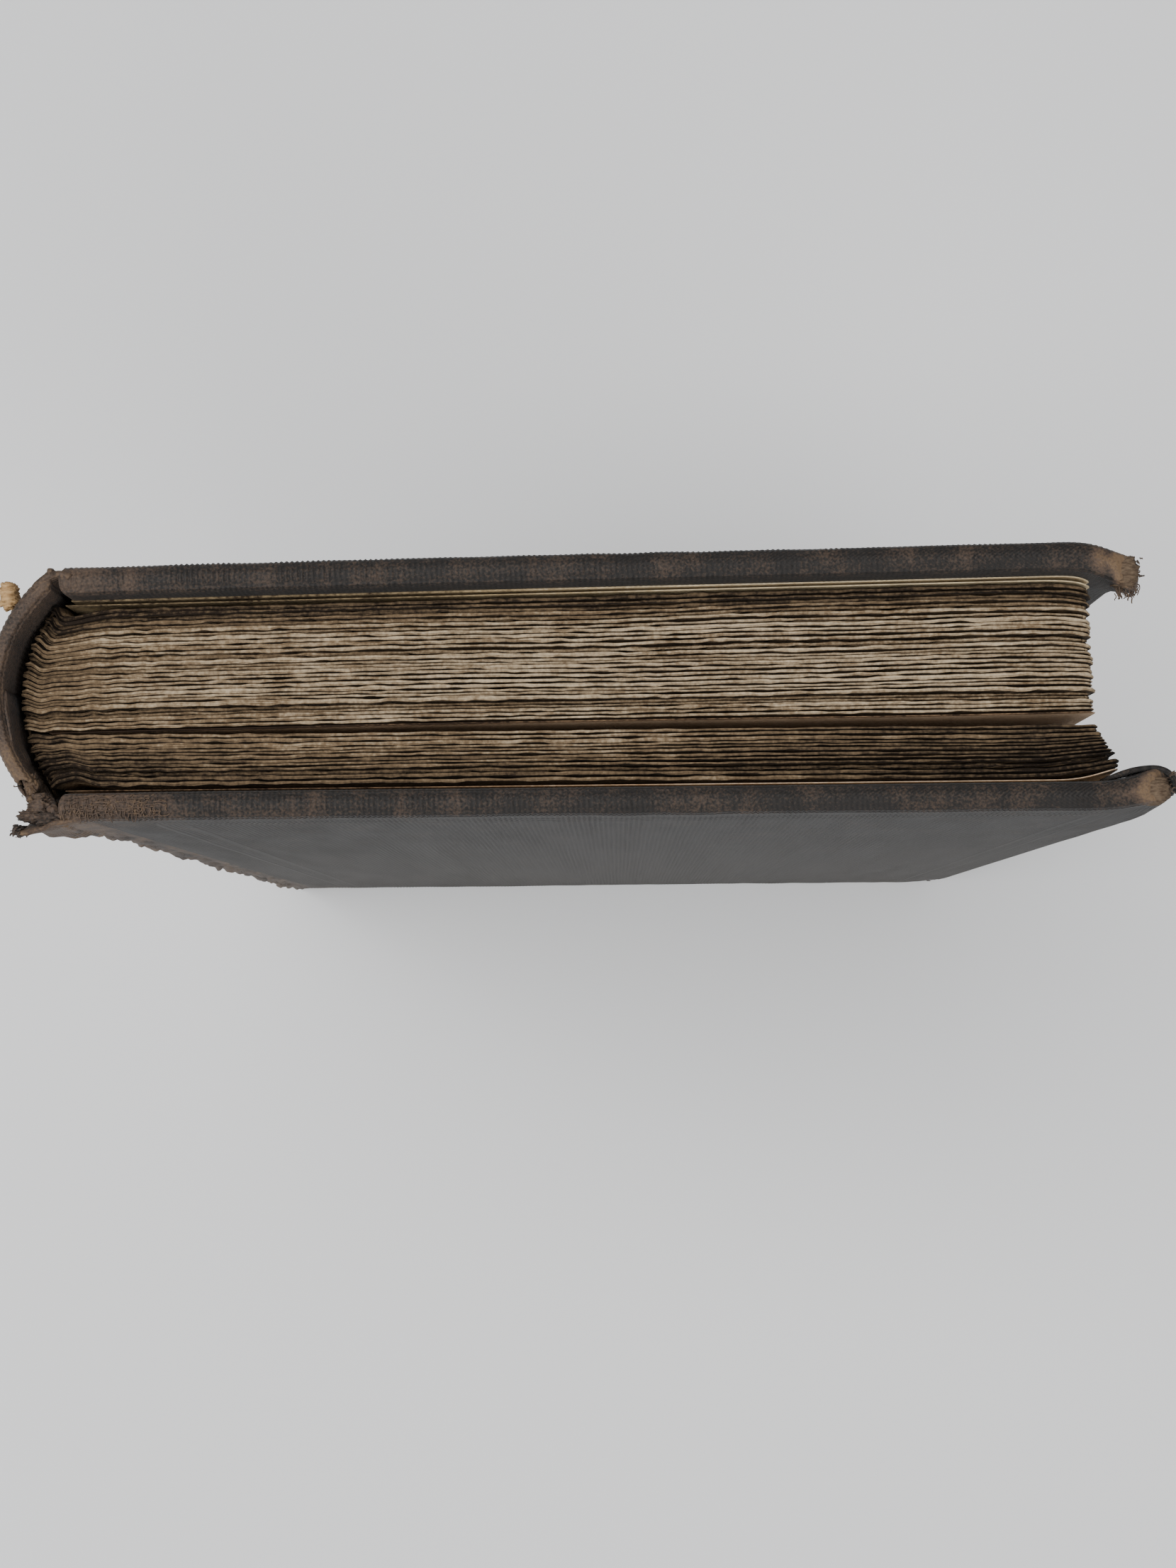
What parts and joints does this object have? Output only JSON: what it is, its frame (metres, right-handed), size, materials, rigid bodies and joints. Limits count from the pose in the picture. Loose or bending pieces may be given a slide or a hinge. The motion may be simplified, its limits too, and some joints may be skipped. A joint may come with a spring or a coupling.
{
  "type": "prayer book",
  "caption": "Small worn cloth-bound book with rounded folded sections, stiff boards and a hollow spine torn free at the front joint; covers and leaves open.",
  "frame": {"origin": "middle of the base, on the surface that the covers' tail edges stand on", "axes": "+X from the spine to the fore edge, +Y from the front cover to the back cover, +Z from the tail to the head"},
  "size_m": [0.0978, 0.0226, 0.138],
  "materials": {
    "leaf_paper": "matte aged rag paper",
    "endpaper": "matte cream paper",
    "binders_board": "raw board",
    "spine_card": "raw card",
    "book_cloth": "ribbed book cloth, worn",
    "mull": "open weave, sized with glue",
    "lining_paper": "brown paper",
    "linen_tape": "linen tape",
    "linen_thread": "linen thread"
  },
  "bodies": {
    "back_block": {"section_07": "leaf_paper", "section_08": "leaf_paper", "section_09": "leaf_paper", "section_10": "leaf_paper", "section_11": "leaf_paper", "section_12": "leaf_paper", "section_13": "leaf_paper", "section_14": "leaf_paper", "section_15": "leaf_paper", "section_16": "leaf_paper", "section_17": "leaf_paper", "section_18": "leaf_paper", "section_19": "leaf_paper", "section_20": "leaf_paper", "back_mull": "mull", "back_spine_lining": "lining_paper", "back_tapes": "linen_tape", "back_kettle_stitches": "linen_thread"},
    "front_block": {"section_01": "leaf_paper", "section_02": "leaf_paper", "section_03": "leaf_paper", "section_04": "leaf_paper", "section_05": "leaf_paper", "section_06": "leaf_paper", "front_mull": "mull", "front_spine_lining": "lining_paper", "front_tapes": "linen_tape", "front_kettle_stitches": "linen_thread"},
    "front_case": {"front_board": "binders_board", "front_cloth": "book_cloth", "front_pastedown": "endpaper", "front_mull_flap": "mull", "front_tape_ends": "linen_tape"},
    "back_case": {"back_board": "binders_board", "back_cloth": "book_cloth", "back_pastedown": "endpaper", "back_mull_flap": "mull", "back_tape_ends": "linen_tape"},
    "spine_case": {"spine_cloth": "book_cloth", "spine_inlay": "spine_card"},
    "front_fly": {"front_flyleaf": "endpaper"},
    "back_fly": {"back_flyleaf": "endpaper"},
    "middle_leaf": {"turning_leaf": "leaf_paper"}
  },
  "joints": [
    {"name": "block_opening", "type": "hinge", "parent": "back_block", "child": "front_block", "pos_m": [-0.0464, -0.00229, 0], "axis": [0, 0, -1], "range_deg": [0, 90]},
    {"name": "front_cover_hinge", "type": "hinge", "parent": "front_block", "child": "front_case", "pos_m": [-0.04354, -0.00987, 0], "axis": [0, 0, -1], "range_deg": [0, 120]},
    {"name": "back_cover_hinge", "type": "hinge", "parent": "back_block", "child": "back_case", "pos_m": [-0.04343, 0.01116, 0], "axis": [0, 0, 1], "range_deg": [0, 120]},
    {"name": "spine_swing", "type": "hinge", "parent": "back_block", "child": "spine_case", "pos_m": [-0.04343, 0.01116, 0], "axis": [0, 0, -1], "range_deg": [0, 40.5]},
    {"name": "middle_leaf_turn", "type": "hinge", "parent": "back_block", "child": "middle_leaf", "pos_m": [-0.0464, -0.00229, 0], "axis": [0, 0, -1], "range_deg": [0, 45]},
    {"name": "front_flyleaf_turn", "type": "hinge", "parent": "front_block", "child": "front_fly", "pos_m": [-0.0431, -0.00721, 0], "axis": [0, 0, -1], "range_deg": [0, 66]},
    {"name": "back_flyleaf_turn", "type": "hinge", "parent": "back_block", "child": "back_fly", "pos_m": [-0.04303, 0.0085, 0], "axis": [0, 0, 1], "range_deg": [0, 66]}
  ],
  "couplings": [
    {"joint": "spine_swing", "follows": "block_opening", "ratio": 0.45},
    {"joint": "middle_leaf_turn", "follows": "block_opening", "ratio": 0.5},
    {"joint": "front_flyleaf_turn", "follows": "front_cover_hinge", "ratio": 0.55},
    {"joint": "back_flyleaf_turn", "follows": "back_cover_hinge", "ratio": 0.55}
  ]
}
